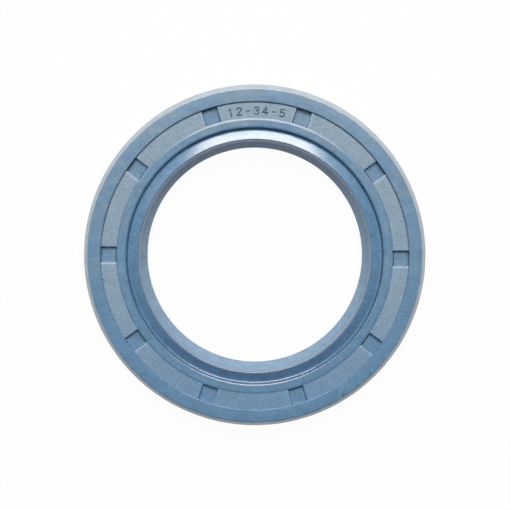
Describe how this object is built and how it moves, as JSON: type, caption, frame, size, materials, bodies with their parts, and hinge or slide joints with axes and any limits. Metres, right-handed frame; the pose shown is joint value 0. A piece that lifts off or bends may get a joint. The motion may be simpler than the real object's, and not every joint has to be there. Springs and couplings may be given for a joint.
{
  "type": "radial shaft seal",
  "caption": "Round rubber-covered shaft seal with a steel case inside, a spring-loaded sealing lip, a dust lip and a windowed air-side face.",
  "frame": {"origin": "centre of the oil-side end, on the shaft's axis", "axes": "+Z along the shaft's axis from the oil side to the air side, +Y to the top of the picture, +X to its right"},
  "size_m": [0.0522, 0.0522, 0.007],
  "materials": {
    "moulded_rubber": "moulded blue-grey nitrile rubber, smooth on the rims and lips and matt blasted on the pads",
    "case_steel": "pressed steel strip, dull grey bonding coat",
    "spring_steel": "drawn spring wire, bright with light oil"
  },
  "bodies": {
    "root": {"rubber_body": "moulded_rubber", "metal_case": "case_steel", "garter_spring": "spring_steel"}
  },
  "joints": []
}
